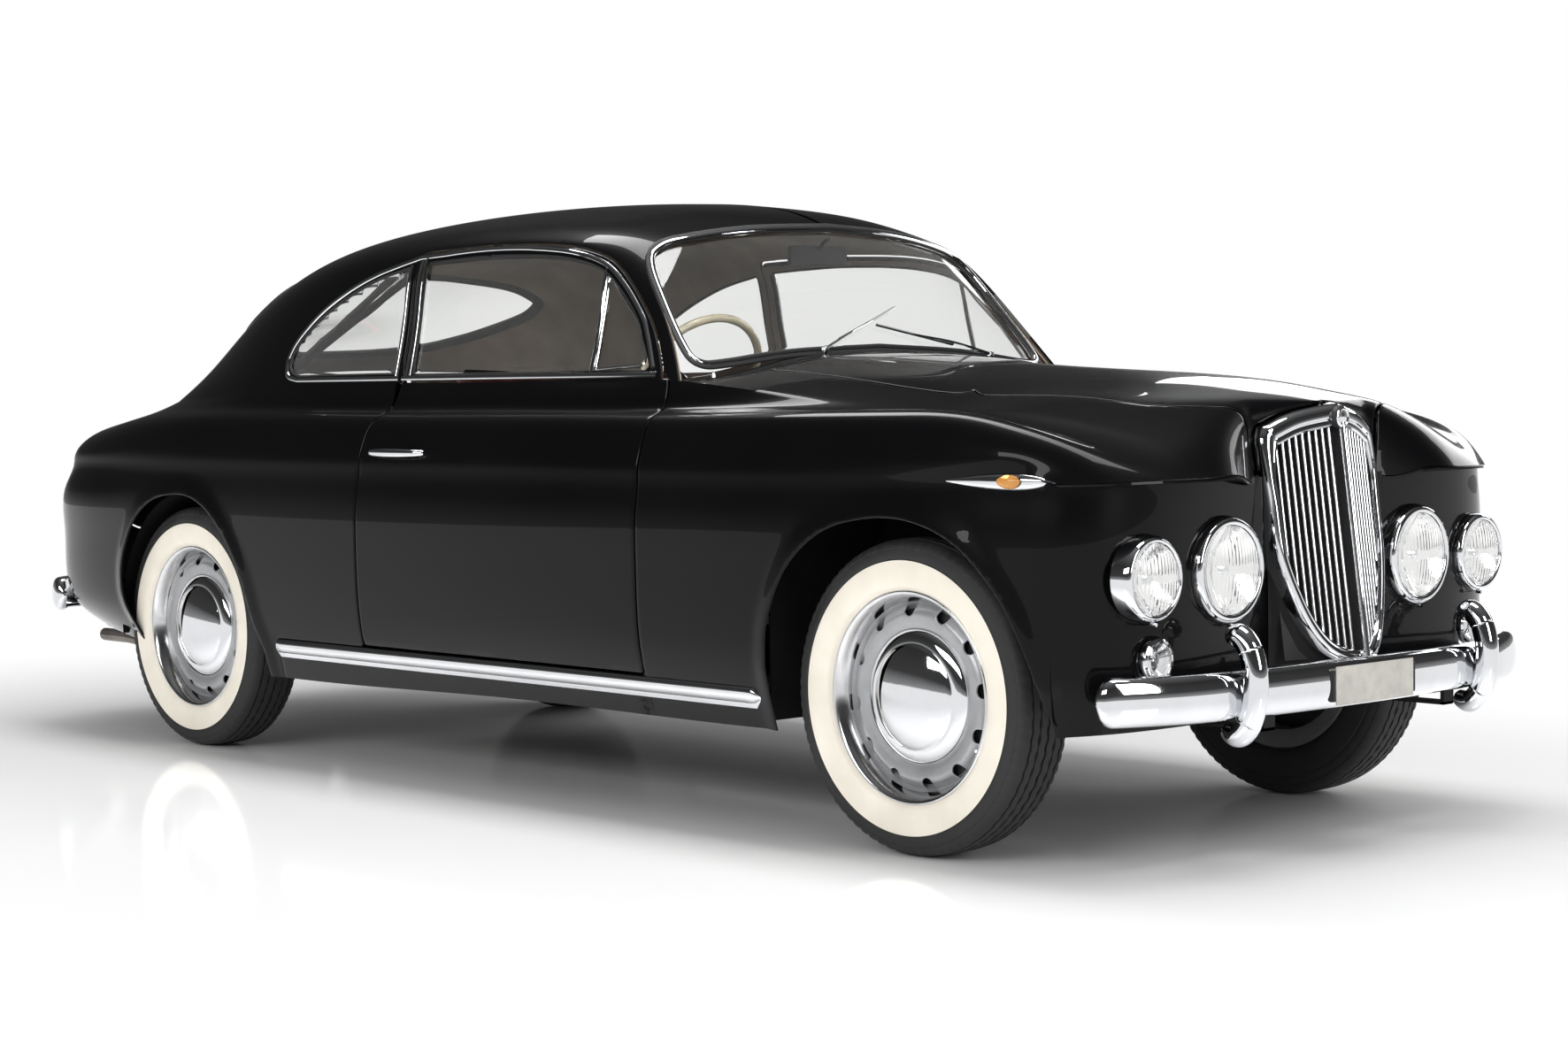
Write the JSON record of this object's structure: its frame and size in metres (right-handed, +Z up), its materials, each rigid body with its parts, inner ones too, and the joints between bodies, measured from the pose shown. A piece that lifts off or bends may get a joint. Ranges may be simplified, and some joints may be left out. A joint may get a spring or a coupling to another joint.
{
  "type": "classic car",
  "caption": "Two-door fastback coupe of the 1950s with separate wings, tall shield grille, chrome bumpers and whitewall tyres; doors, bonnet, boot lid and wheels move.",
  "frame": {"origin": "on the ground under the middle of the car's overall length and width", "axes": "+X forwards, +Y to the car's left, +Z up"},
  "size_m": [4.614, 1.64, 1.5071],
  "materials": {
    "body_paint": "gloss",
    "chassis_paint": "satin",
    "pipe_steel": "satin",
    "engine_iron": "matte",
    "chrome": "polished",
    "lamp_glass": "polished",
    "lamp_chrome": "polished",
    "window_glass": "polished",
    "seat_leather": "satin",
    "dash_trim": "gloss",
    "wheel_rim_plastic": "gloss",
    "wheel_steel": "satin",
    "tyre": "matte"
  },
  "bodies": {
    "body": {"front_wing_left": "body_paint", "front_wing_right": "body_paint", "nose_panel": "body_paint", "rear_quarter_left": "body_paint", "rear_quarter_right": "body_paint", "roof": "body_paint", "sills": "body_paint", "floor_pan": "chassis_paint", "front_suspension": "chassis_paint", "rear_axle": "chassis_paint", "rear_springs": "chassis_paint", "exhaust": "pipe_steel", "engine": "engine_iron", "radiator": "chassis_paint", "grille_frame": "chrome", "grille_slats": "chrome", "front_bumper": "chrome", "rear_bumper": "chrome", "sill_strips": "chrome", "wipers": "chrome", "mirror": "chrome", "headlamps": "lamp_glass", "marker_lamps": "lamp_chrome", "windscreen": "window_glass", "rear_windows": "window_glass", "front_seats": "seat_leather", "rear_bench": "seat_leather", "dashboard": "dash_trim", "steering_wheel": "wheel_rim_plastic"},
    "bonnet": {"bonnet": "body_paint"},
    "boot_lid": {"boot_lid": "body_paint"},
    "door_left": {"door_left": "body_paint", "door_glass_left": "window_glass", "door_handle_left": "chrome"},
    "door_right": {"door_right": "body_paint", "door_glass_right": "window_glass", "door_handle_right": "chrome"},
    "knuckle_left": {"knuckle_left": "chassis_paint"},
    "knuckle_right": {"knuckle_right": "chassis_paint"},
    "road_wheel_front_left": {"wheel_front_left": "wheel_steel", "tyre_front_left": "tyre"},
    "road_wheel_front_right": {"wheel_front_right": "wheel_steel", "tyre_front_right": "tyre"},
    "road_wheel_rear_left": {"wheel_rear_left": "wheel_steel", "tyre_rear_left": "tyre"},
    "road_wheel_rear_right": {"wheel_rear_right": "wheel_steel", "tyre_rear_right": "tyre"}
  },
  "joints": [
    {"name": "steer_left", "type": "hinge", "parent": "body", "child": "knuckle_left", "pos_m": [1.5625, 0.575, 0.344], "axis": [0, 0, 1], "range_deg": [-32, 32]},
    {"name": "steer_right", "type": "hinge", "parent": "body", "child": "knuckle_right", "pos_m": [1.5625, -0.575, 0.344], "axis": [0, 0, 1], "range_deg": [-32, 32]},
    {"name": "bonnet_hinge", "type": "hinge", "parent": "body", "child": "bonnet", "pos_m": [0.8745, 0, 1.1], "axis": [0, -1, 0], "range_deg": [0, 50]},
    {"name": "boot_hinge", "type": "hinge", "parent": "body", "child": "boot_lid", "pos_m": [-1.7725, 0, 1.14], "axis": [0, 1, 0], "range_deg": [0, 60]},
    {"name": "door_left_hinge", "type": "hinge", "parent": "body", "child": "door_left", "pos_m": [0.7605, 0.806, 0.6], "axis": [0, 0, -1], "range_deg": [0, 65]},
    {"name": "door_right_hinge", "type": "hinge", "parent": "body", "child": "door_right", "pos_m": [0.7605, -0.806, 0.6], "axis": [0, 0, 1], "range_deg": [0, 65]},
    {"name": "spin_front_left", "type": "hinge", "parent": "knuckle_left", "child": "road_wheel_front_left", "pos_m": [1.5625, 0.6455, 0.344], "axis": [0, 1, 0], "continuous": true},
    {"name": "spin_front_right", "type": "hinge", "parent": "knuckle_right", "child": "road_wheel_front_right", "pos_m": [1.5625, -0.6455, 0.344], "axis": [0, 1, 0], "continuous": true},
    {"name": "spin_rear_left", "type": "hinge", "parent": "body", "child": "road_wheel_rear_left", "pos_m": [-1.2975, 0.649, 0.344], "axis": [0, 1, 0], "continuous": true},
    {"name": "spin_rear_right", "type": "hinge", "parent": "body", "child": "road_wheel_rear_right", "pos_m": [-1.2975, -0.649, 0.344], "axis": [0, 1, 0], "continuous": true}
  ],
  "couplings": [
    {"joint": "steer_right", "follows": "steer_left", "ratio": 1}
  ]
}
